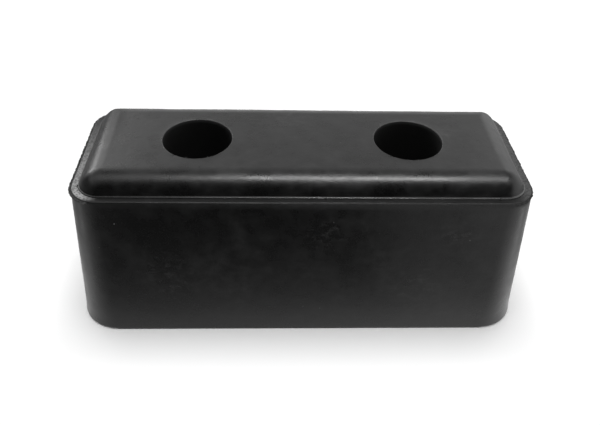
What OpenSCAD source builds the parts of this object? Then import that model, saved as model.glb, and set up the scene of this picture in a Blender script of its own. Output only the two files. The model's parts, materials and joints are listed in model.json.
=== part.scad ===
// Rubber bumper: one moulded block with a sloping-sided crown and two stepped bolt recesses.
// The mounting face lies on Z = 0 with its centre at the origin, and the crown faces +Z.
// X runs along the block and Y across it.

/* [Foot] */
// Length of the block at the foot of its wall
base_length = 250; // [230:5:350]
// Width of the block at the foot of its wall
base_width = 100; // [92:1:130]
// Radius of the rim round the mounting face
rim_round = 1.2; // [0.4:0.1:2.5]

/* [Wall] */
// Height of the wall, from the mounting face to the ledge
wall_height = 86.5; // [60:0.5:100]
// Draft of the wall, in degrees from upright
wall_draft = 5; // [1:0.5:7]

/* [Ledge] */
// Width of the ledge between the wall and the crown
ledge_width = 4; // [3:0.5:6]
// Radius of the ledge's upright corners
ledge_corner = 15; // [10:0.5:20]
// Radius of the ledge's outer edge
ledge_round = 1.2; // [0.4:0.1:1.5]
// Radius of the bead that the mould's parting line leaves at the crown's foot
bead_radius = 0.6; // [0.3:0.1:0.8]

/* [Crown] */
// Height of the crown above the ledge
crown_height = 9.5; // [8:0.5:14]
// Radius of the soft edge between the crown's leaning wall and its flat top
crown_round = 12; // [4:0.5:16]
// Radius of the corners of the flat top
top_corner = 0.5; // [0.5:0.5:8]

/* [Bolt recesses] */
// Distance between the two bolts
bolt_spacing = 112; // [90:2:140]
// Diameter of the bolt holes
bolt_hole = 17; // [11:0.5:22]
// Diameter of the recesses, wide enough for a socket on the bolt head
recess_diameter = 36; // [32:0.5:44]
// Thickness of rubber between the recess floor and the mounting face
bolt_seat = 30; // [15:1:45]
// Radius between the recess wall and its floor
floor_round = 2; // [0.5:0.5:3]
// Radius of the recess mouth
mouth_round = 0.6; // [0.2:0.1:1.5]

/* [Smoothness] */
// Number of facets in a full circle
facets = 96; // [48:24:192]

/* [Hidden] */
$fn = facets;
rubber = [0.1, 0.1, 0.11];
through = 1; // how far a cutter runs past the face that it opens
root = 6; // how far the crown reaches down inside the block that carries it

// The crown's wall leans in three for every four up, so a step along it is 0.6 in and 0.8 up.
lean_in = 0.6;
lean_up = 0.8;
// Where the soft edge ends, in its own radii from the corner that it rounds
edge_run = (1 - lean_in) / lean_up;

total_height = wall_height + crown_height;

// How far the wall slopes in, to a hundredth, so that neighbouring solids meet in one plane.
wall_inset = round(wall_height * tan(wall_draft) * 100) / 100;
crown_inset = crown_height * lean_in / lean_up;

// The block's corners turn about one axis, so their radius grows from the ledge to the base.
base_corner = ledge_corner + wall_inset;
block_axis = [base_length, base_width] / 2 - base_corner * [1, 1];

// The crown's corners turn about an axis of their own, so their radius grows from the flat top
// to the crown's foot.
crown_corner = top_corner + edge_run * crown_round + crown_inset;
crown_axis = block_axis + (ledge_corner - ledge_width - crown_corner) * [1, 1];

recess_radius = recess_diameter / 2;
bolt_radius = bolt_hole / 2;

// What a rounding takes off a square corner, or adds to an inside one. The heading points from
// the corner to the rounding's centre, one step along each axis.
module corner_sliver(corner, heading, radius) {
    translate(corner) difference() {
        polygon(radius * [[0, 0], [heading.x, 0], [0, heading.y]]);
        translate(radius * heading) circle(radius);
    }
}

// What the soft edge takes off the corner between the crown's leaning wall and its top.
module soft_edge_sliver(corner) {
    translate(corner) difference() {
        polygon(crown_round * edge_run * [[0, 0], [-1, 0], [lean_in, -lean_up]]);
        translate(crown_round * [-edge_run, -1]) circle(crown_round);
    }
}

// The block in section up to the ledge, measured outwards from its corner axis.
module block_section() {
    rim = [base_corner, 0];
    ledge_edge = [ledge_corner, wall_height];
    difference() {
        polygon([
            [0, 0], rim, rim + [0, rim_round],
            ledge_edge - [0, ledge_round], ledge_edge, [0, wall_height]
        ]);
        corner_sliver(rim, [-1, 1], rim_round);
        corner_sliver(ledge_edge, [-1, -1], ledge_round);
    }
}

// The crown in section with the bead at its foot, measured outwards from its corner axis.
module crown_section() {
    foot = [crown_corner, wall_height];
    edge = foot + [-crown_inset, crown_height];
    difference() {
        polygon([
            [0, wall_height - root], foot - [0, root], foot, edge, [0, total_height]
        ]);
        soft_edge_sliver(edge);
    }
    translate(foot) circle(bead_radius);
}

// A rounded oblong whose four corner axes stand at the given distances from its middle. A core
// fills it between the two heights, and the section goes round as sides, ends and corners.
module oblong(axis, bottom, top) {
    translate([-axis.x, -axis.y, bottom]) cube([2 * axis.x, 2 * axis.y, top - bottom]);
    for (end = [0, 180]) rotate([0, 0, end]) {
        translate([axis.x, 0, 0])
            rotate([90, 0, 0]) linear_extrude(height = 2 * axis.y, center = true) children();
        rotate([0, 0, 90]) translate([axis.y, 0, 0])
            rotate([90, 0, 0]) linear_extrude(height = 2 * axis.x, center = true) children();
        translate([axis.x, axis.y, 0]) rotate_extrude(angle = 90) children();
        translate([-axis.x, axis.y, 0])
            rotate([0, 0, 90]) rotate_extrude(angle = 90) children();
    }
}

// What one bolt takes out: its hole, the recess over its head and the rounded mouth.
module bolt_recess() {
    floor_corner = [recess_radius, bolt_seat];
    mouth = [recess_radius, total_height];
    rotate_extrude() {
        translate([0, -through]) square([bolt_radius, bolt_seat + 2 * through]);
        difference() {
            translate([0, bolt_seat])
                square([recess_radius, total_height - bolt_seat + through]);
            corner_sliver(floor_corner, [-1, 1], floor_round);
        }
        corner_sliver(mouth, [1, -1], mouth_round);
    }
}

// The finished block, moulded in one piece of solid rubber.
module bumper_block() {
    color(rubber) difference() {
        union() {
            oblong(block_axis, 0, wall_height) block_section();
            oblong(crown_axis, wall_height - root, total_height) crown_section();
        }
        for (side = [-1, 1]) translate([side * bolt_spacing / 2, 0, 0]) bolt_recess();
    }
}

bumper_block();
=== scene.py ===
"""A moulded rubber bumper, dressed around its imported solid, in a small white studio."""

import json
import logging
from collections.abc import Callable
from dataclasses import dataclass, field, replace
from enum import Enum
from functools import partial, reduce
from math import cos, radians, sin, tan

import bmesh
import bpy
from mathutils import Matrix, Vector


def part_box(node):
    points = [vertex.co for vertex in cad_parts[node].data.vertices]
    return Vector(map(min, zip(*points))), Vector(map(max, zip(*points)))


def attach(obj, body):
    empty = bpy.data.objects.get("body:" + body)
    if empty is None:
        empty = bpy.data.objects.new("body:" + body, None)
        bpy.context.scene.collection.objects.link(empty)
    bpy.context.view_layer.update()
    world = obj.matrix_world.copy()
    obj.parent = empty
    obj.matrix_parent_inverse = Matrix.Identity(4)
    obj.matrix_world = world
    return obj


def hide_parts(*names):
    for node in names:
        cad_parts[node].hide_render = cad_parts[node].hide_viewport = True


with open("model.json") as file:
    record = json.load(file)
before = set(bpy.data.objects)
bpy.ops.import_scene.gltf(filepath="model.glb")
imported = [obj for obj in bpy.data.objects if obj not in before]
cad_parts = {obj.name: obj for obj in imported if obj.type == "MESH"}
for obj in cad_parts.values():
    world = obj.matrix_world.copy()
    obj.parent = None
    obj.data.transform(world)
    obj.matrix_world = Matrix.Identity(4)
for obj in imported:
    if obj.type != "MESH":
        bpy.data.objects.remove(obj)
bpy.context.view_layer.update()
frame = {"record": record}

LOG = logging.getLogger("bumper")
MM = 0.001
NODE = "bumper_block"
SLOT = "black_rubber"
BODY = "root"
NEAR = 0.02 * MM  # how closely a selection by place has to fit
LEVEL = 0.99  # how far up or down the normal of a flat face points at least

Numbers = tuple[float, ...]
Pair = tuple[float, float]
Piece = bpy.types.Object
Socket = bpy.types.NodeSocket


class Part(Enum):
    """What a selection in edit mode is made of."""

    VERT = "VERT"
    EDGE = "EDGE"
    FACE = "FACE"


class Facing(Enum):
    """Which way a face looks."""

    UP = 1.0
    DOWN = -1.0


# Bench work


def deselect_all() -> None:
    """Drops whatever is selected, so an operator acts on one piece alone."""
    bpy.ops.object.select_all(action="DESELECT")


def select_everything() -> None:
    """Selects all of the piece in edit mode."""
    bpy.ops.mesh.select_all(action="SELECT")


def turn_outwards() -> None:
    """Selects every face in edit mode and turns it outwards."""
    select_everything()
    bpy.ops.mesh.normals_make_consistent(inside=False)


def make_active(piece: Piece) -> None:
    """Selects one piece and makes it the active one.

    Args:
        piece: The piece that the next operators act on.
    """
    deselect_all()
    piece.select_set(True)
    bpy.context.view_layer.objects.active = piece


def select_where(piece: Piece, part: Part, test: Callable[..., bool]) -> int:
    """Selects the vertices, edges or faces that pass a test, in edit mode.

    Args:
        piece: The piece in edit mode.
        part: What to select.
        test: The test for one of them.

    Returns:
        How many were selected.
    """
    bpy.ops.mesh.select_mode(type=part.value)
    bpy.ops.mesh.select_all(action="DESELECT")
    mesh = bmesh.from_edit_mesh(piece.data)
    choices = {Part.VERT: mesh.verts, Part.EDGE: mesh.edges, Part.FACE: mesh.faces}
    found = [item for item in choices[part] if test(item)]
    for item in found:
        item.select_set(True)
    mesh.select_flush_mode()
    bmesh.update_edit_mesh(piece.data)
    return len(found)


def looks(face: bmesh.types.BMFace, way: Facing, height: float) -> bool:
    """Tells whether a face looks up or down with its middle at a given height, in metres."""
    return face.normal.z * way.value > LEVEL and abs(face.calc_center_median().z - height) < NEAR


def apply_modifier(piece: Piece, kind: str, **settings: object) -> None:
    """Adds a modifier, sets it and applies it.

    Args:
        piece: The piece.
        kind: The modifier's type.
        settings: Its settings, by name.
    """
    make_active(piece)
    modifier = piece.modifiers.new(kind.lower(), kind)
    for name, value in settings.items():
        setattr(modifier, name, value)
    bpy.ops.object.modifier_apply(modifier=modifier.name)


def climb(steps: list[Pair]) -> None:
    """Raises the selected face by steps of how far its outline goes out and how far it rises."""
    for out, rise in steps:
        bpy.ops.mesh.inset(thickness=-out, depth=rise)


def arc(radius: float, start: float, stop: float, segments: int) -> list[Pair]:
    """The steps of a rounding, from one direction of its radius to another.

    Args:
        radius: Its radius.
        start: The radius's first direction, in degrees up from straight out.
        stop: Its last direction.
        segments: How many steps it takes.

    Returns:
        Pairs of how far each step goes out and how far it rises.
    """
    turns = [radians(start + (stop - start) * i / segments) for i in range(segments + 1)]
    path = [(radius * cos(t), radius * sin(t)) for t in turns]
    return [(b[0] - a[0], b[1] - a[1]) for a, b in zip(path, path[1:])]


# Block


def rounded_outline(half: Vector, corner: float, segments: int, pitch: float, height: float) -> Piece:
    """Draws a flat oblong with rounded corners, whose edges are cut to an even pitch.

    Args:
        half: Half its length and width.
        corner: Radius of its corners.
        segments: How many edges a corner has.
        pitch: Length of the edges along its sides.
        height: The height that it lies at.

    Returns:
        The piece, in edit mode, with its one face selected and looking up.
    """
    deselect_all()
    bpy.ops.mesh.primitive_plane_add(size=2, location=(0, 0, height))
    piece = bpy.context.object
    piece.scale = (half.x, half.y, 1)
    bpy.ops.object.transform_apply()
    bpy.ops.object.mode_set(mode="EDIT")
    select_everything()
    bpy.ops.mesh.bevel(offset=corner, segments=segments, affect="VERTICES")
    select_everything()
    bpy.ops.mesh.delete(type="ONLY_FACE")
    for axis in (0, 1):
        run = 2 * (half[axis] - corner)
        most = 0.9 * run
        select_where(piece, Part.EDGE, lambda e: abs(e.verts[0].co[axis] - e.verts[1].co[axis]) > most)
        bpy.ops.mesh.subdivide(number_cuts=round(run / pitch) - 1)
    select_everything()
    bpy.ops.mesh.edge_face_add()
    if select_where(piece, Part.FACE, lambda f: f.normal.z < 0):
        bpy.ops.mesh.flip_normals()
    select_everything()
    return piece


@dataclass
class Mount:
    """One bolt position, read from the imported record."""

    centre: Vector
    hole_radius: float
    recess_radius: float
    seat: float


def bolt_mounts(record: dict) -> list[Mount]:
    """Reads the bolt positions from the record's mounts.

    Args:
        record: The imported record.

    Returns:
        One entry for each end of the block.
    """
    by_name = {mount["name"]: mount for mount in record["mounts"]}
    found = []
    for side in ("left", "right"):
        hole, recess = by_name[f"bolt_hole_{side}"], by_name[f"recess_{side}"]
        found.append(Mount(
            Vector((hole["pos_m"][0], hole["pos_m"][1], 0.0)),
            hole["dims"]["r_mm"] * MM, recess["dims"]["r_mm"] * MM, hole["dims"]["length_mm"] * MM,
        ))
    return found


@dataclass
class BumperBlock:
    """The moulded block: drafted wall, ledge, parting bead, soft-edged crown and bolt recesses.

    The crown's slope is in degrees from upright. Its corners come to a point after so many turns, or
    steps, of its soft edge. The unevenness is the length and the depth of each wave in the skin.
    """

    low: Vector
    high: Vector
    mounts: list[Mount]
    wall_height: float = 86.5 * MM
    wall_draft: float = radians(5)
    rim_round: float = 1.2 * MM
    ledge_width: float = 4 * MM
    ledge_corner: float = 15 * MM
    ledge_round: float = 1.2 * MM
    bead_radius: float = 0.6 * MM
    crown_slope: float = 28
    crown_run: float = 13.125 * MM
    front_turns: int = 22
    back_turns: int = 18
    point: float = 0.2 * MM
    floor_round: float = 2 * MM
    mouth_round: float = 0.6 * MM
    corner_segments: int = 16
    soft_segments: int = 24
    bead_segments: int = 7
    round_segments: int = 6
    mouth_segments: int = 5
    hole_segments: int = 96
    flat_rows: int = 3
    pitch: float = 3.5 * MM
    still_foot: float = 3 * MM
    smooth_below: float = radians(40)
    unevenness: tuple[Pair, ...] = ((45 * MM, 0.35 * MM), (13 * MM, 0.16 * MM))

    @property
    def top(self) -> float:
        """Height of the crown's flat top."""
        return self.high.z

    @property
    def wall_inset(self) -> float:
        """How far the wall slopes in."""
        return self.wall_height * tan(self.wall_draft)

    @property
    def base_corner(self) -> float:
        """Radius of the upright corners at the foot of the wall."""
        return self.ledge_corner + self.wall_inset

    @property
    def crown_round(self) -> float:
        """Radius of the crown's soft edge, which meets the flat top and the leaning wall smoothly."""
        rise = self.top - self.wall_height
        lean = radians(self.crown_slope)
        return (self.crown_run - rise * tan(lean)) / (cos(lean) - (1 - sin(lean)) * tan(lean))

    @property
    def soft_edge(self) -> list[Pair]:
        """The steps of the crown's soft edge, from its leaning wall to its flat top."""
        return arc(self.crown_round, self.crown_slope, 90, self.soft_segments)

    @property
    def bead(self) -> list[Pair]:
        """The steps of the bead at the crown's foot, from the ledge to the leaning wall."""
        return arc(self.bead_radius, 0, 90 + self.crown_slope, self.bead_segments)

    def crown_wall(self) -> Pair:
        """How far the crown's leaning wall goes out and up, between the bead and the soft edge."""
        rounded = sum(rise for _, rise in self.bead + self.soft_edge)
        rise = self.top - self.wall_height - rounded
        return -rise * tan(radians(self.crown_slope)), rise

    def crown_corner(self, turns: int) -> float:
        """Radius of a crown corner at the bead's outer edge, if it comes to a point after so many turns."""
        return self.point - sum(out for out, _ in [*self.bead, self.crown_wall(), *self.soft_edge[:turns]])

    def half_sizes(self, inset: float) -> Vector:
        """Half the block's length and width, drawn in all round by an inset."""
        half = (self.high - self.low) / 2
        return Vector((half.x - inset, half.y - inset))

    def wall_steps(self) -> list[Pair]:
        """The section from the foot of the wall, over the ledge's edge, to the bead.

        Returns:
            Pairs of how far each step goes out and how far it rises.
        """
        rise = self.wall_height - self.rim_round - self.ledge_round
        rows = round(rise / self.pitch)
        flat = self.ledge_width - self.ledge_round - self.bead_radius
        return [
            *[(-self.wall_inset / rows, rise / rows)] * rows,
            *arc(self.ledge_round, 0, 90, self.round_segments),
            *[(-flat / self.flat_rows, 0.0)] * self.flat_rows,
        ]

    def ease_corners(self, piece: Piece) -> None:
        """Turns the ledge's inner corners into the crown's own, which are tighter behind.

        Args:
            piece: The piece, in edit mode, with the ledge's inner outline as its open top face.
        """
        half = self.half_sizes(self.wall_inset + self.ledge_width - self.bead_radius)
        before = self.ledge_corner - self.ledge_width + self.bead_radius
        front, back = self.crown_corner(self.front_turns), self.crown_corner(self.back_turns)

        def on_outline(vert: bmesh.types.BMVert) -> bool:
            """Tells whether a vertex lies on the face that the crown rises from."""
            above = vert.co.z > self.rim_round + NEAR
            return above and any(len(face.verts) > 4 for face in vert.link_faces)

        for side_x in (-1, 1):
            for side_y in (-1, 1):
                select_where(piece, Part.VERT, lambda v: (
                    on_outline(v)
                    and v.co.x * side_x > half.x - before + NEAR
                    and v.co.y * side_y > half.y - before + NEAR
                ))
                after = front if side_y < 0 else back
                bpy.ops.transform.resize(
                    value=(after / before, after / before, 1),
                    center_override=(side_x * half.x, side_y * half.y, self.wall_height),
                )
        straight = half - Vector((1, 1)) * (before - NEAR)
        for side_y in (-1, 1):
            select_where(piece, Part.VERT, lambda v: (
                on_outline(v) and v.co.y * side_y > half.y - NEAR and abs(v.co.x) < straight.x
            ))
            shrink = (half.x - (front if side_y < 0 else back)) / (half.x - before)
            bpy.ops.transform.resize(value=(shrink, 1, 1), center_override=(0, 0, self.wall_height))
        select_where(piece, Part.VERT, lambda v: (
            on_outline(v) and abs(v.co.x) > half.x - NEAR and abs(v.co.y) < straight.y
        ))
        stretch = (2 * half.y - front - back) / (2 * half.y - 2 * before)
        bpy.ops.transform.resize(value=(1, stretch, 1), center_override=(0, 0, self.wall_height))
        bpy.ops.transform.translate(value=(0, (front - back) / 2, 0))
        select_where(piece, Part.FACE, lambda f: len(f.verts) > 4 and looks(f, Facing.UP, self.wall_height))

    def crown_steps(self) -> list[Pair]:
        """The section of the bead and the crown, up to its flat top.

        Returns:
            Pairs of how far each step goes out and how far it rises.
        """
        out, rise = self.crown_wall()
        rows = self.flat_rows
        return [*self.bead, *[(out / rows, rise / rows)] * rows, *self.soft_edge]

    def raise_crown(self, piece: Piece) -> None:
        """Raises the crown, and brings its corners to a point where their radius runs out.

        Args:
            piece: The piece, in edit mode, with the crown's outline selected as its open top face.
        """
        steps = self.crown_steps()
        below = len(steps) - len(self.soft_edge)
        outline = self.half_sizes(self.wall_inset + self.ledge_width - self.bead_radius)
        done = 0
        for turns, side_y in ((self.back_turns, 1), (self.front_turns, -1)):
            climb(steps[done:below + turns])
            done = below + turns
            height = self.wall_height + sum(rise for _, rise in steps[:done])
            corner = outline + Vector((1, 1)) * sum(out for out, _ in steps[:done])
            reach = 2 * self.point - sum(out for out, _ in steps[done:])
            for side_x in (-1, 1):
                tip = Vector((side_x * corner.x, side_y * corner.y, height))
                select_where(piece, Part.VERT, lambda v: (
                    abs(v.co.z - height) < NEAR and (v.co - tip).length < reach
                ))
                bpy.context.scene.cursor.location = tip
                bpy.ops.mesh.merge(type="CURSOR")
            select_where(piece, Part.FACE, lambda f: len(f.verts) > 4 and looks(f, Facing.UP, height))
        climb(steps[done:])

    def foot(self, piece: Piece) -> None:
        """Closes the block underneath, with its rounded rim.

        Args:
            piece: The piece, in edit mode.
        """
        select_where(piece, Part.EDGE, lambda e: e.is_boundary)
        bpy.ops.mesh.edge_face_add()
        turn_outwards()
        select_where(piece, Part.FACE, lambda f: looks(f, Facing.DOWN, self.rim_round))
        climb(arc(self.rim_round, 0, 90, self.round_segments))

    def grid_top(self, piece: Piece) -> None:
        """Cuts the crown's flat into a grid, along the rows of the wall below it.

        Args:
            piece: The piece, in edit mode.
        """
        inward = self.crown_corner(len(self.soft_edge))
        crown_half = self.half_sizes(self.wall_inset + self.ledge_width - self.bead_radius + inward)
        base_half = self.half_sizes(self.base_corner)
        for axis in (0, 1):
            cuts = round(2 * base_half[axis] / self.pitch)
            across = Vector((1, 0, 0)) if axis == 0 else Vector((0, 1, 0))
            for i in range(cuts + 1):
                select_where(piece, Part.FACE, lambda f: looks(f, Facing.UP, self.top))
                place = across * crown_half[axis] * (2 * i / cuts - 1)
                bpy.ops.mesh.bisect(plane_co=place, plane_no=across)

    def cutter(self, mount: Mount) -> Piece:
        """Turns the solid that one bolt takes out of the block.

        Args:
            mount: The bolt's place and sizes.

        Returns:
            The cutter, in object mode.
        """
        over = 1 * MM
        wall = self.top - mount.seat - self.floor_round - self.mouth_round
        floor = mount.recess_radius - self.floor_round - mount.hole_radius
        steps = [
            (0.0, mount.seat + over),
            (floor, 0.0),
            *arc(self.floor_round, -90, 0, self.round_segments),
            (0.0, wall),
            *arc(self.mouth_round, 180, 90, self.mouth_segments),
            (0.0, over),
        ]
        deselect_all()
        bpy.ops.mesh.primitive_circle_add(
            vertices=self.hole_segments, radius=mount.hole_radius, fill_type="NGON",
            location=mount.centre + Vector((0, 0, -over)),
        )
        piece = bpy.context.object
        bpy.ops.object.transform_apply()
        bpy.ops.object.mode_set(mode="EDIT")
        bpy.ops.mesh.select_mode(type="FACE")
        select_everything()
        radius = mount.hole_radius
        for out, rise in steps:
            bpy.ops.mesh.extrude_region_move(TRANSFORM_OT_translate={"value": (0, 0, rise)})
            grow = (radius + out) / radius
            bpy.ops.transform.resize(value=(grow, grow, 1), center_override=mount.centre)
            radius += out
        turn_outwards()
        bpy.ops.object.mode_set(mode="OBJECT")
        return piece

    def build(self) -> Piece:
        """Models the whole block.

        Returns:
            The finished mesh, with no material yet.
        """
        piece = rounded_outline(
            self.half_sizes(0), self.base_corner, self.corner_segments, self.pitch, self.rim_round
        )
        climb(self.wall_steps())
        self.ease_corners(piece)
        self.raise_crown(piece)
        self.foot(piece)
        self.grid_top(piece)
        bpy.ops.object.mode_set(mode="OBJECT")
        for mount in self.mounts:
            cutter = self.cutter(mount)
            apply_modifier(piece, "BOOLEAN", operation="DIFFERENCE", object=cutter, solver="EXACT")
            bpy.data.objects.remove(cutter)
        self.ripple(piece)
        make_active(piece)
        bpy.ops.object.shade_smooth_by_angle(angle=self.smooth_below)
        apply_modifier(piece, "WEIGHTED_NORMAL", keep_sharp=True)
        piece.name = piece.data.name = "moulded_block"
        return piece

    def ripple(self, piece: Piece) -> None:
        """Sinks the skin by fractions of a millimetre, as rubber does when it cools in the mould.

        Args:
            piece: The block. Its foot stays flat.
        """
        skin = piece.vertex_groups.new(name="skin")
        skin.add([v.index for v in piece.data.vertices if v.co.z > self.still_foot], 1.0, "REPLACE")
        for wave, depth in self.unevenness:
            texture = bpy.data.textures.new("ripple", "CLOUDS")
            texture.noise_scale = wave
            apply_modifier(
                piece, "DISPLACE", texture=texture, strength=depth, mid_level=1.0, vertex_group="skin"
            )
        piece.vertex_groups.clear()


# Flash


@dataclass
class MouldingFlash:
    """The thin flash that the mould leaves: a fin at the ledge's ends, a trimmed lip at the foot and nibs.

    A nib's sizes are shares of its radius, and each is shorter than the last. Its place is in millimetres.
    """

    block: BumperBlock
    fin_reach: float = 0.3 * MM
    fin_shift: Pair = (-0.35 * MM, -0.5 * MM)
    fin_width: float = 1.3 * MM
    fin_thickness: float = 0.2 * MM
    fin_drop: float = 0.85 * MM
    fin_end: float = 106 * MM
    fin_segments: int = 34
    tooth: float = 0.8 * MM
    ragged: float = 0.22 * MM
    ragged_band: float = 0.4 * MM
    ragged_seed: int = 5
    nib_seed: int = 20
    lip_width: float = 2.4 * MM
    lip_thickness: float = 0.5 * MM
    lip_inset: float = 0.1 * MM
    lip_pitch: float = 3 * MM
    lip_trim: int = 3
    smooth_below: float = radians(30)
    nib: float = 0.5 * MM
    nib_sides: int = 8
    nib_height: float = 1.6
    nib_length: float = 1.3
    nib_shorter: float = 0.15
    nib_width: float = 0.7
    nib_tip: float = 0.25
    nib_places: tuple[Numbers, ...] = (
        (10.3, -39.1, 86.9), (97.9, -38.9, 86.9), (-60.3, -16.9, 95.3), (-49.5, -16.3, 95.3),
        (-113.5, -29.5, 86.8),
    )

    def ring(
        self, half: Vector, corner: float, segments: int, pitch: float, width: float, height: float,
        thickness: float, outer: Callable[..., bool] | None = None,
    ) -> Piece:
        """Makes a thin flat ring round the block and, where it is told to, leaves an edge ragged.

        Args:
            half: Half its outer length and width.
            corner: Radius of its outer corners.
            segments: How many edges a corner has.
            pitch: Length of the edges along its sides.
            width: Its width.
            height: The height of its underside.
            thickness: Its thickness.
            outer: Tells whether a vertex lies on the ragged edge, or nothing if the ring stays even.

        Returns:
            The ring, in object mode.
        """
        piece = rounded_outline(half, corner, segments, pitch, height)
        bpy.ops.mesh.inset(thickness=width, depth=0)
        bpy.ops.mesh.delete(type="FACE")
        select_everything()
        bpy.ops.mesh.extrude_region_move(TRANSFORM_OT_translate={"value": (0, 0, thickness)})
        select_where(piece, Part.EDGE, lambda e: e.is_boundary)
        bpy.ops.mesh.bridge_edge_loops()
        if outer is not None:
            select_where(piece, Part.VERT, outer)
            bpy.ops.transform.vertex_random(offset=self.ragged, uniform=1.0, seed=self.ragged_seed)
        turn_outwards()
        bpy.ops.object.mode_set(mode="OBJECT")
        return piece

    def fin(self) -> Piece:
        """Makes the ragged fin along the ledge's outer edge at both ends of the block.

        Returns:
            Both halves of the fin, as one piece.
        """
        block = self.block
        half = block.half_sizes(block.wall_inset - self.fin_reach)
        corner = block.ledge_corner + self.fin_reach

        def on_edge(vert: bmesh.types.BMVert) -> bool:
            """Tells whether a vertex lies on the ring's outer edge, along a side or round a corner."""
            past = Vector((abs(vert.co.x), abs(vert.co.y))) - half
            return (
                max(past) > -self.ragged_band
                or (past + Vector((1, 1)) * corner).length > block.ledge_corner
            )

        piece = self.ring(
            half, corner, self.fin_segments, self.tooth, self.fin_width,
            block.wall_height - self.fin_drop, self.fin_thickness, on_edge,
        )
        bpy.ops.object.mode_set(mode="EDIT")
        select_where(piece, Part.FACE, lambda f: abs(f.calc_center_median().x) < self.fin_end)
        bpy.ops.mesh.delete(type="FACE")
        select_where(piece, Part.EDGE, lambda e: e.is_boundary)
        bpy.ops.mesh.edge_face_add()
        select_everything()
        bpy.ops.transform.translate(value=(*self.fin_shift, 0))
        bpy.ops.object.mode_set(mode="OBJECT")
        return piece

    def lip(self) -> Piece:
        """Makes the trimmed lip round the foot, with flats where the knife cut off the corners."""
        half = self.block.half_sizes(self.lip_inset)
        return self.ring(
            half, self.block.base_corner, self.lip_trim, self.lip_pitch, self.lip_width, 0.0,
            self.lip_thickness,
        )

    def nibs(self) -> list[Piece]:
        """Makes the small torn nibs on the bead and on the recess's rim.

        Returns:
            One piece for each nib.
        """
        found = []
        for i, place in enumerate(self.nib_places):
            centre = Vector(place) * MM
            deselect_all()
            bpy.ops.mesh.primitive_cone_add(
                vertices=self.nib_sides, radius1=self.nib, radius2=self.nib * self.nib_tip,
                depth=self.nib * self.nib_height, location=centre,
            )
            piece = bpy.context.object
            bpy.ops.object.transform_apply()
            bpy.ops.object.mode_set(mode="EDIT")
            select_everything()
            length = self.nib_length - self.nib_shorter * i
            bpy.ops.transform.resize(value=(length, self.nib_width, 1), center_override=centre)
            bpy.ops.transform.vertex_random(
                offset=self.nib * self.nib_tip, uniform=1.0, seed=self.nib_seed + i
            )
            bpy.ops.object.mode_set(mode="OBJECT")
            found.append(piece)
        return found

    def build(self) -> Piece:
        """Makes all the flash and joins it.

        Returns:
            The finished mesh, with no material yet.
        """
        pieces = [self.fin(), self.lip(), *self.nibs()]
        make_active(pieces[0])
        for piece in pieces:
            piece.select_set(True)
        bpy.ops.object.join()
        piece = bpy.context.object
        bpy.ops.object.shade_smooth_by_angle(angle=self.smooth_below)
        piece.name = piece.data.name = "moulding_flash"
        return piece


# Finish


@dataclass(frozen=True)
class Fade:
    """Where a mark comes in along one measure, in millimetres, and between which two levels."""

    start: float
    stop: float
    low: float = 0.0
    high: float = 1.0


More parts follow.
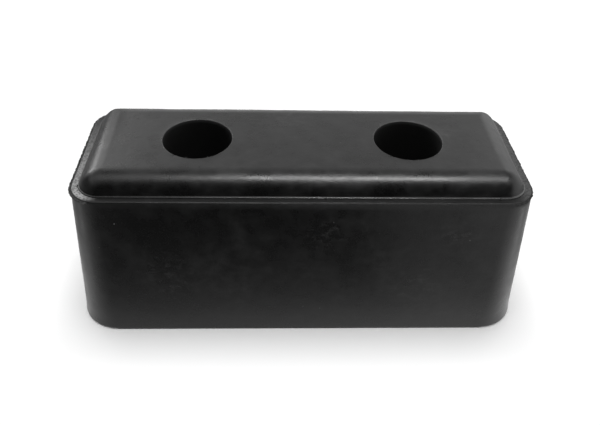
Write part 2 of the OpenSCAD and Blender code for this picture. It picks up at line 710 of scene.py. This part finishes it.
@dataclass
class NodeBench:
    """One material's node tree, with short ways to add the nodes that the finishes use."""

    tree: bpy.types.NodeTree

    def add(self, kind: str, *inputs: tuple[str | int, object]) -> bpy.types.Node:
        """Adds a node and feeds its inputs.

        Args:
            kind: The node's kind.
            inputs: The name or number of each input, with what goes in.

        Returns:
            The node.
        """
        node = self.tree.nodes.new(kind)
        for name, value in inputs:
            self.feed(node, name, value)
        return node

    def shade(self, name: str, value: object) -> None:
        """Links or sets one input of the material's shader."""
        self.feed(self.tree.nodes["Principled BSDF"], name, value)

    def place(self) -> Socket:
        """Adds the object's own coordinates."""
        return self.add("ShaderNodeTexCoord").outputs["Object"]

    def axes(self, source: Socket) -> tuple[Socket, ...]:
        """Splits coordinates or a direction into its parts along the three axes."""
        node = self.add("ShaderNodeSeparateXYZ", (0, source))
        return tuple(node.outputs[name] for name in "XYZ")

    def feed(self, node: bpy.types.Node, name: str | int, value: object) -> None:
        """Links or sets one input of a node.

        Args:
            node: The node.
            name: The input's name or number.
            value: A socket to link, or a plain value.
        """
        if isinstance(value, Socket):
            self.tree.links.new(value, node.inputs[name])
        else:
            node.inputs[name].default_value = value

    def math(self, operation: str, *values: object) -> Socket:
        """Adds a sum, product or other simple step.

        Args:
            operation: The step's kind.
            values: What goes in, as sockets or numbers.

        Returns:
            The result.
        """
        node = self.add("ShaderNodeMath")
        node.operation = operation
        for i, value in enumerate(values):
            self.feed(node, i, value)
        return node.outputs[0]

    def product(self, *values: object) -> Socket:
        """Multiplies any number of values, which are sockets or numbers."""
        return reduce(partial(self.math, "MULTIPLY"), values)

    def ramp(
        self, value: object, start: float, stop: float, low: float = 0.0, high: float = 1.0
    ) -> Socket:
        """Turns one range of a value into another, held level at both ends."""
        node = self.add("ShaderNodeMapRange", *enumerate((value, start, stop, low, high)))
        return node.outputs["Result"]

    def fade(self, value: object, fade: Fade, origin: float = 0.0) -> Socket:
        """Brings a mark in along a measure in metres, counted from an origin."""
        return self.ramp(value, origin + fade.start * MM, origin + fade.stop * MM, fade.low, fade.high)

    def blend(self, share: object, first: object, second: object) -> Socket:
        """Goes from one value to another, by the share of the second."""
        return self.add("ShaderNodeMix", (0, share), (2, first), (3, second)).outputs[0]

    def noise(self, place: Socket, scale: float, detail: float, rough: float = 0.5) -> Socket:
        """Adds a noise texture with so many waves in a metre and finer layers, which are so strong."""
        inputs = {"Vector": place, "Scale": scale, "Detail": detail, "Roughness": rough}
        return self.add("ShaderNodeTexNoise", *inputs.items()).outputs["Fac"]

    def dots(self, place: Socket, scale: float, size: float, share: float) -> Socket:
        """Scatters small dots.

        Args:
            place: The coordinates to read.
            scale: Cells in a metre, each of which may hold one dot.
            size: A dot's radius in cells.
            share: The share of cells that hold one.

        Returns:
            One in a dot and nought elsewhere.
        """
        node = self.add("ShaderNodeTexVoronoi", ("Vector", place), ("Scale", scale))
        parts = self.add("ShaderNodeSeparateColor", (0, node.outputs["Color"])).outputs
        chosen = self.math("LESS_THAN", parts["Red"], share)
        spread = self.math("MULTIPLY", parts["Green"], size)
        return self.product(chosen, self.math("LESS_THAN", node.outputs["Distance"], spread))

    def falloff(self, distance: Socket, reach: float) -> Socket:
        """Goes from one, where a distance is nought or less, down to nothing well past its reach."""
        ahead = self.math("MAXIMUM", distance, 0.0)
        return self.math("EXPONENT", self.math("MULTIPLY", ahead, -1 / reach))


@dataclass(frozen=True)
class RubberFinish:
    """Black moulded rubber: satin and faintly clouded, paler along the ledge's ends where flash came off,
    from grinding and from a painted sheen.

    Tones are reflectances. A noise has its waves in a metre, its finer layers and their strength, and a
    range of it that counts, with the levels at its ends. Dots have their cells in a metre, a dot's size
    in cells and the share of cells that hold one. A scuff has its place and reach in millimetres.
    Heights go from the ledge, and those of the painted light at the top of the bores from the crown.
    """

    ledge: float
    crown: float
    name: str = SLOT
    dark: float = 0.0010
    bloom: float = 0.0090
    # painted sheen: the ledge's ends are paler, partly from grinding and partly to stand in for light they
    # catch from the left
    ground_and_sheen: float = 0.34
    dust: float = 0.15
    rim: float = 0.022
    # painted glint: the bead's tone is lightened to stand in for the light that its thin edge catches
    bead: float = 0.075
    # painted light: a paler band at the top of each bore's wall stands in for the light that reaches it
    # there
    mouth: float = 0.05
    scuff: float = 0.030
    roughness: Pair = (0.24, 0.38)
    ground_roughness: float = 0.60
    ledge_roughness: float = 0.50
    rim_roughness: float = 0.95
    bore_roughness: float = 0.60
    bead_roughness: float = 0.16
    gloss: float = 0.5
    dull_gloss: float = 0.28
    grain: Numbers = (1000.0, 3.0)
    clouds: Numbers = (38.0, 4.0)
    blotches: Numbers = (150.0, 6.0, 0.65)
    peel: Numbers = (260.0, 2.0)
    wisps: Numbers = (210.0, 8.0, 0.72)
    wisp_stretch: Numbers = (1.0, 1.6, 1.6)
    cloud_range: Pair = (0.35, 0.65)
    blotch_range: Pair = (0.38, 0.68)
    rough_range: Pair = (0.38, 0.62)
    speck_range: Pair = (0.4, 0.6)
    wisp_range: Pair = (0.50, 0.72)
    ground_and_sheen_range: Numbers = (0.36, 0.56, 0.25, 1.0)
    rim_range: Numbers = (0.3, 0.6, 0.4, 1.2)
    pits: Numbers = (130.0, 0.10, 0.25)
    specks: Numbers = (210.0, 0.075, 0.16)
    grain_height: float = 0.030
    peel_height: float = 0.055
    pit_depth: float = 0.14
    scuff_places: tuple[Numbers, ...] = (
        (11, -44, 68, 17), (80, -44, 67, 15), (-72, -47, 40, 22), (75, 5, 96, 24), (-10, 22, 96, 20),
        # the last place, on the right end of the crown's soft edge, is partly a painted highlight as well
        # as a scuff
        (60, -40, 30, 22), (104, 14, 95, 9),
    )
    bore_tilt: Pair = (0.85, 0.99)
    flat_tilt: Pair = (0.85, 0.97)
    beside_across: Fade = Fade(20, 21)
    beside_along: Fade = Fade(78, 80)
    under_bead: Fade = Fade(0.1, 0.3, 1, 0)
    over_wall: Fade = Fade(-1.8, -1.3)
    # where the ledge's paler ends lie, from grinding and a painted sheen: strongest at the left end towards
    # the front, faint at the right end
    left_end: Fade = Fade(-110, -102, 1, 0)
    left_back: Fade = Fade(33, -35, 0, 0.85)
    left_front: Fade = Fade(-41.2, -39.6)
    right_end: Fade = Fade(108, 113, 0, 0.16)
    rim_height: Fade = Fade(-4.5, -0.6)
    rim_along: Fade = Fade(-80, 70, 0.15, 1)
    bead_foot: Fade = Fade(0.22, 0.37)
    bead_top: Fade = Fade(0.5, 0.65, 1, 0)
    # the painted glint on the bead fades out towards the left end
    bead_glint_along: Fade = Fade(-112, 10, 0.10, 1.1)
    # the band of painted light at the top of each bore, below the crown's top
    mouth_height: Fade = Fade(-2.6, -0.8)
    worn_along: Fade = Fade(-101, -95, 1, 0)
    worn_across: Fade = Fade(-10, 20)
    worn_height: Fade = Fade(1, 3)

    def material(self) -> bpy.types.Material:
        """Builds the rubber's node tree.

        Returns:
            The material.
        """
        material = bpy.data.materials.new(self.name)
        material.use_nodes = True
        bench = NodeBench(material.node_tree)
        place = bench.place()
        grain = bench.noise(place, *self.grain)
        clouds = bench.noise(place, *self.clouds)
        blotches = bench.noise(place, *self.blotches)
        ground_and_sheen, ledge, rim, bead, bore, mouth, worn = self.marks(bench, place, grain)
        # the bores get no bloom, scuffs or specks and stay at the darkest tone: painted shade in the
        # recesses
        outside = bench.math("SUBTRACT", 1.0, bore)
        bloom = bench.product(
            bench.ramp(clouds, *self.cloud_range), bench.ramp(blotches, *self.blotch_range), outside
        )
        scuffs = bench.product(self.scuffs(bench, place), outside)
        specks = bench.product(
            bench.dots(place, *self.specks), bench.ramp(grain, *self.speck_range), outside
        )
        # tones that carry painted light: the sheen on the ledge's ends, the glint on the bead, the band at
        # the top of the bores and part of one scuff
        tone = self.dark
        for share, level in (
            (bloom, self.bloom), (scuffs, self.scuff), (specks, self.dust), (rim, self.rim),
            (bead, self.bead), (mouth, self.mouth), (ground_and_sheen, self.ground_and_sheen),
        ):
            tone = bench.blend(share, tone, level)
        grey = bench.add("ShaderNodeCombineColor", *((i, tone) for i in range(3)))
        bench.shade("Base Color", grey.outputs["Color"])

        rough = bench.ramp(bench.blend(0.5, clouds, blotches), *self.rough_range, *self.roughness)
        for share, level in (
            (ledge, self.ledge_roughness), (ground_and_sheen, self.ground_roughness), (rim, self.rim_roughness),
            (bead, self.bead_roughness), (bore, self.bore_roughness),
        ):
            rough = bench.blend(share, rough, level)
        bench.shade("Roughness", rough)
        dull = bench.math("MAXIMUM", ledge, worn)
        bench.shade("Specular IOR Level", bench.blend(dull, self.gloss, self.dull_gloss))

        height = bench.math("MULTIPLY", grain, self.grain_height)
        for layer, rise in (
            (bench.noise(place, *self.peel), self.peel_height),
            (bench.dots(place, *self.pits), -self.pit_depth),
        ):
            height = bench.math("MULTIPLY_ADD", layer, rise, height)
        bump = bench.add("ShaderNodeBump", ("Distance", MM), ("Height", height))
        bench.shade("Normal", bump.outputs["Normal"])
        return material

    def scuffs(self, bench: NodeBench, place: Socket) -> Socket:
        """Scatters pale scuffs over the few places that were rubbed; the one on the crown's right end is
        partly a painted highlight.

        Args:
            bench: The material's nodes.
            place: The coordinates to read.

        Returns:
            How far each place is scuffed.
        """
        rubbed = 0.0
        for *middle, reach in self.scuff_places:
            distance = bench.add("ShaderNodeVectorMath", (0, place), (1, Vector(middle) * MM))
            distance.operation = "DISTANCE"
            near = bench.fade(distance.outputs["Value"], Fade(0, reach, 1, 0))
            rubbed = bench.math("MAXIMUM", near, rubbed)
        stretch = bench.add("ShaderNodeMapping", ("Vector", place), ("Scale", self.wisp_stretch))
        wisps = bench.noise(stretch.outputs["Vector"], *self.wisps)
        return bench.product(rubbed, bench.ramp(wisps, *self.wisp_range))

    def marks(self, bench: NodeBench, place: Socket, grain: Socket) -> tuple[Socket, ...]:
        """Finds the ledge's flat, its ends speckled by grinding and a painted sheen, its dull rounding, the
        bead and the bores.

        Args:
            bench: The material's nodes.
            place: The coordinates to read.
            grain: The rubber's grain, which breaks up the grinding and painted sheen on the ledge's flat.

        Returns:
            How far each place is paler from grinding and painted sheen, and how far it lies on the ledge,
            its rounding, the bead, a bore, the painted light at the top of a bore and the crown's end that
            has worn dull.
        """
        along, across, height = bench.axes(place)
        tilt = bench.axes(bench.add("ShaderNodeNewGeometry").outputs["Normal"])[2]
        beside = bench.math(
            "MAXIMUM",
            bench.fade(bench.math("ABSOLUTE", across), self.beside_across),
            bench.fade(bench.math("ABSOLUTE", along), self.beside_along),
        )
        bore = bench.product(
            bench.math("SUBTRACT", 1.0, beside), bench.ramp(tilt, *self.bore_tilt, 1.0, 0.0)
        )
        level = bench.ramp(tilt, *self.flat_tilt)
        under_bead = bench.fade(height, self.under_bead, self.ledge)
        ledge = bench.product(under_bead, bench.fade(height, self.over_wall, self.ledge), beside, level)
        # the ledge's ends are paler, partly from grinding and partly as a painted sheen, brightest at the
        # left end's front
        left = bench.product(
            bench.fade(along, self.left_end), bench.fade(across, self.left_back),
            bench.fade(across, self.left_front),
        )
        ends = bench.math("ADD", left, bench.fade(along, self.right_end))
        ground_and_sheen = bench.product(ledge, ends, bench.ramp(grain, *self.ground_and_sheen_range))
        rim = bench.product(
            under_bead, bench.fade(height, self.rim_height, self.ledge), beside,
            bench.math("SUBTRACT", 1.0, level), bench.ramp(grain, *self.rim_range),
            bench.fade(along, self.rim_along),
        )
        # where the bead's painted glint lies, lighter towards the right
        bead = bench.product(
            beside, bench.fade(height, self.bead_foot, self.ledge),
            bench.fade(height, self.bead_top, self.ledge), bench.fade(along, self.bead_glint_along),
        )
        # a paler band just under each bore's top edge: painted light on the upper bore wall
        mouth = bench.product(bore, bench.fade(height, self.mouth_height, self.crown))
        worn = bench.product(
            bench.fade(along, self.worn_along), bench.fade(across, self.worn_across),
            bench.fade(height, self.worn_height, self.ledge),
        )
        return ground_and_sheen, ledge, rim, bead, bore, mouth, worn


# Studio


@dataclass
class ViewPoint:
    """The photograph's viewing angle: where the camera looks, from how far and how it is held."""

    target: Vector = field(default_factory=lambda: Vector((-0.35, 0.0, 44.2)) * MM)
    distance: float = 369.3 * MM
    yaw: float = radians(2.98)
    pitch: float = radians(40.57)
    roll: float = radians(2.12)
    focal_pixels: float = 631.24
    frame_pixels: float = 600.0

    def place(self) -> None:
        """Makes the camera and gives it to the scene."""
        ahead = Vector((sin(self.yaw) * cos(self.pitch), cos(self.yaw) * cos(self.pitch), -sin(self.pitch)))
        level = Vector((cos(self.yaw), -sin(self.yaw), 0))
        upright = level.cross(ahead)
        right = level * cos(self.roll) + upright * sin(self.roll)
        up = upright * cos(self.roll) - level * sin(self.roll)
        data = bpy.data.cameras.new("view")
        data.sensor_fit = "HORIZONTAL"
        data.sensor_width = 36.0
        data.lens = data.sensor_width * self.focal_pixels / self.frame_pixels
        data.clip_start = 0.01
        camera = bpy.data.objects.new("view", data)
        bpy.context.scene.collection.objects.link(camera)
        turn = Matrix((right, up, -ahead)).transposed().to_4x4()
        camera.matrix_world = Matrix.Translation(self.target - ahead * self.distance) @ turn
        bpy.context.scene.camera = camera


@dataclass(frozen=True)
class Screen:
    """A flat card of light that stands around the block and is seen only in its gloss."""

    name: str
    aim: Vector
    azimuth: float
    elevation: float
    distance: float
    width: float
    height: float
    strength: float

    @property
    def centre(self) -> Vector:
        """Its middle, seen from the place on the block that it lights."""
        turn, rise = radians(self.azimuth), radians(self.elevation)
        way = Vector((sin(turn) * cos(rise), cos(turn) * cos(rise), sin(rise)))
        return self.aim + way * self.distance


@dataclass
class Studio:
    """A white sheet under a ceiling softbox, with a grey hood and light screens around the block.

    Turns are in degrees up from the back. Levels are what the gloss sees there.
    """

    front_wall: float
    half_length: float
    sheet_size: float = 3.6
    sheet_grey: float = 0.92
    sheet_lift: float = 0.02
    fill: float = 0.30
    ceiling_place: Vector = field(default_factory=lambda: Vector((0.0, 0.36, 3.0)))
    ceiling_size: float = 1.6
    ceiling_power: float = 87.0
    hood_radius: float = 1.0
    hood_half_length: float = 1.1
    hood_back: float = 28.0
    hood_front: float = 186.0
    hood_steps: int = 29
    hood_levels: tuple[Pair, ...] = (
        (28, 1.0), (36, 0.74), (44, 0.78), (53, 0.90), (61, 0.74), (70, 0.46), (84, 0.38), (91, 1.22),
        (104, 1.3), (112, 0.35), (125, 0.10), (140, 0.05), (186, 0.05),
    )
    hood_left: float = 1.7
    hood_left_along: Fade = Fade(-280, -440)
    hood_left_turn: Pair = (54, 68)
    floor_far: Fade = Fade(45, 85, 0.07, 0.38)
    floor_near: Fade = Fade(-80, 80, 0.75, 1.05)
    floor_left: Fade = Fade(-120, -220, 0, 0.3)
    floor_right: Fade = Fade(120, 180, 0, 0.4)
    floor_behind: Fade = Fade(0, 30)
    floor_reach: float = 32 * MM
    floor_size: float = 3.4
    floor_gap: float = 0.3 * MM
    side_levels: Pair = (0.22, 0.95)
    side_right: Fade = Fade(120, 300, 0, 0.25)
    side_reach: float = 80 * MM
    strip_place: Vector = field(default_factory=lambda: Vector((0.115, -0.119, 0.72)))
    strip_size: Pair = (0.38, 0.09)
    strip_power: float = 2.5
    screens: tuple[Screen, ...] = (
        Screen("left_screen", Vector((-0.117, 0, 0.09)), -40, 25, 0.8, 0.40, 0.24, 1.8),
        Screen("left_glow", Vector((-0.117, -0.02, 0.09)), -43, 19, 0.5, 0.13, 0.10, 7.5),
        Screen("left_shade", Vector((-0.117, 0, 0.09)), -40, 0, 0.9, 0.70, 0.14, 0.25),
        Screen("left_flag", Vector((-0.117, 0, 0.09)), -98, 6, 0.9, 1.30, 0.90, 0.12),
        Screen("right_screen", Vector((0.10, 0, 0.09)), 36, 28, 0.8, 0.28, 0.30, 1.5),
    )

    def surroundings(self) -> None:
        """Gives the world white for what is seen, also in gloss and glass, and a low fill for the rest."""
        world = bpy.data.worlds.new("surroundings")
        world.use_nodes = True
        bench = NodeBench(world.node_tree)
        background = bench.tree.nodes["Background"]
        bench.feed(background, "Color", (1, 1, 1, 1))
        bench.feed(background, "Strength", bench.ramp(self.seen(bench), 0.0, 1.0, self.fill, 1.0))
        world.cycles.sampling_method = "NONE"
        bpy.context.scene.world = world

    @staticmethod
    def seen(bench: NodeBench) -> Socket:
        """Tells what the camera sees, straight, in gloss or through glass.

        Args:
            bench: The nodes to add to.

        Returns:
            One for such a ray and nought for light that falls on something.
        """
        path = bench.add("ShaderNodeLightPath").outputs
        reflected = bench.math("MAXIMUM", path["Is Glossy Ray"], path["Is Transmission Ray"])
        return bench.math("MAXIMUM", path["Is Camera Ray"], reflected)

    @staticmethod
    def paint(card: Piece, name: str, grey: float = 0.0) -> NodeBench:
        """Gives a card a plain matt finish.

        Args:
            card: The card.
            name: The material's name.
            grey: Its reflectance.

        Returns:
            The material's nodes.
        """
        material = bpy.data.materials.new(name)
        material.use_nodes = True
        card.data.materials.append(material)
        bench = NodeBench(material.node_tree)
        bench.shade("Base Color", (grey, grey, grey, 1))
        bench.shade("Roughness", 1.0)
        bench.shade("Specular IOR Level", 0.0)
        bench.shade("Emission Color", (1, 1, 1, 1))
        bench.shade("Emission Strength", 0.0)
        return bench

    @staticmethod
    def seen_in_gloss_only(card: Piece) -> None:
        """Keeps a card out of the picture and the shadows, so only gloss shows it.

        Args:
            card: The card.
        """
        card.visible_camera = False
        card.visible_diffuse = False
        card.visible_shadow = False
        card.visible_transmission = False

    @staticmethod
    def card(name: str, centre: Vector, size: Pair, towards: Vector | None = None) -> Piece:
        """Places a flat card.

        Args:
            name: Its name.
            centre: Its middle.
            size: Its width and height.
            towards: The point that it faces, or nothing if it lies flat.

        Returns:
            The card.
        """
        deselect_all()
        bpy.ops.mesh.primitive_plane_add(size=1, location=centre)
        card = bpy.context.object
        card.scale = (*size, 1)
        if towards is not None:
            card.rotation_euler = (towards - centre).to_track_quat("Z", "Y").to_euler()
        bpy.ops.object.transform_apply()
        card.name = card.data.name = name
        return card

    def sheet(self) -> None:
        """Lays the white sheet that the block stands on, which keeps the block's shadow."""
        sheet = self.card("sheet", Vector((0, 0, 0)), (self.sheet_size, self.sheet_size))
        bench = self.paint(sheet, "white_sheet", self.sheet_grey)
        bench.shade("Emission Strength", bench.product(self.seen(bench), self.sheet_lift))

    def floor_card(self) -> None:
        """Lays the grey card whose reflection darkens the block's wall, lighter close to its foot."""
        card = self.card("floor_card", Vector((0, 0, self.floor_gap)), (self.floor_size, self.floor_size))
        bench = self.paint(card, "floor_grey")
        along, across, _ = bench.axes(bench.place())
        near = bench.falloff(bench.math("SUBTRACT", self.front_wall, across), self.floor_reach)
        front = bench.blend(near, bench.fade(along, self.floor_far), bench.fade(along, self.floor_near))
        for end in (self.floor_left, self.floor_right):
            front = bench.math("ADD", front, bench.fade(along, end))
        past_end = bench.math("SUBTRACT", bench.math("ABSOLUTE", along), self.half_length)
        sides = bench.ramp(bench.falloff(past_end, self.side_reach), 0.0, 1.0, *self.side_levels)
        sides = bench.math("ADD", sides, bench.fade(along, self.side_right))
        behind = bench.fade(across, self.floor_behind, self.front_wall)
        bench.shade("Emission Strength", bench.blend(behind, front, sides))
        self.seen_in_gloss_only(card)

    def hood(self) -> None:
        """Bends the grey hood from behind, over the top and down to the front."""
        points = []
        for i in range(self.hood_steps + 1):
            turn = radians(self.hood_back + (self.hood_front - self.hood_back) * i / self.hood_steps)
            for side in (-1, 1):
                place = Vector((0, cos(turn), sin(turn))) * self.hood_radius
                points.append((side * self.hood_half_length, place.y, place.z))
        faces = [(2 * i, 2 * i + 1, 2 * i + 3, 2 * i + 2) for i in range(self.hood_steps)]
        mesh = bpy.data.meshes.new("hood")
        mesh.from_pydata(points, [], faces)
        hood = bpy.data.objects.new("hood", mesh)
        bpy.context.scene.collection.objects.link(hood)
        bench = self.paint(hood, "hood_grey")
        along, across, height = bench.axes(bench.place())
        turn = bench.math("DEGREES", bench.math("ARCTAN2", height, across))
        level = self.hood_levels[0][1]
        for (start, _), (stop, grey) in zip(self.hood_levels, self.hood_levels[1:]):
            level = bench.blend(bench.ramp(turn, start, stop), level, grey)
        left = bench.product(
            bench.fade(along, self.hood_left_along), bench.ramp(turn, *self.hood_left_turn, 1.0, 0.0),
            self.hood_left,
        )
        bench.shade("Emission Strength", bench.math("ADD", level, left))
        self.seen_in_gloss_only(hood)

    def lamp(self, name: str, place: Vector, size: Pair, power: float) -> Piece:
        """Hangs a softbox that looks straight down.

        Args:
            name: Its name.
            place: Its middle.
            size: Its length and depth.
            power: Its power in watts.

        Returns:
            The lamp.
        """
        data = bpy.data.lights.new(name, "AREA")
        data.shape = "RECTANGLE"
        data.size, data.size_y = size
        data.energy = power
        lamp = bpy.data.objects.new(name, data)
        bpy.context.scene.collection.objects.link(lamp)
        lamp.location = place
        return lamp

    def set_up(self) -> None:
        """Puts the studio together."""
        self.surroundings()
        self.sheet()
        self.floor_card()
        self.hood()
        for screen in self.screens:
            card = self.card(screen.name, screen.centre, (screen.width, screen.height), screen.aim)
            self.paint(card, screen.name).shade("Emission Strength", screen.strength)
            self.seen_in_gloss_only(card)
        ceiling = self.lamp(
            "ceiling", self.ceiling_place, (self.ceiling_size, self.ceiling_size), self.ceiling_power
        )
        ceiling.visible_glossy = False
        strip = self.lamp("strip", self.strip_place, self.strip_size, self.strip_power)
        strip.visible_diffuse = False


def main() -> None:
    """Builds the bumper and its studio, and reports each piece."""
    logging.basicConfig(level=logging.INFO, format="%(name)s: %(message)s")
    low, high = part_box(NODE)
    block = BumperBlock(low, high, bolt_mounts(frame["record"]))
    rubber = RubberFinish(block.wall_height, block.top)
    torn_tone = 0.012
    torn = replace(rubber, name="torn_rubber", ground_and_sheen=torn_tone, rim=torn_tone, scuff=torn_tone)
    for piece, finish in ((block.build(), rubber), (MouldingFlash(block).build(), torn)):
        piece.data.materials.clear()
        piece.data.materials.append(finish.material())
        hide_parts(NODE)
        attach(piece, BODY)
        LOG.info("%s: %d faces", piece.name, len(piece.data.polygons))
    ViewPoint().place()
    Studio(low[1], high[0]).set_up()
    bpy.context.scene.view_settings.view_transform = "Standard"


if __name__ == "__main__":
    main()
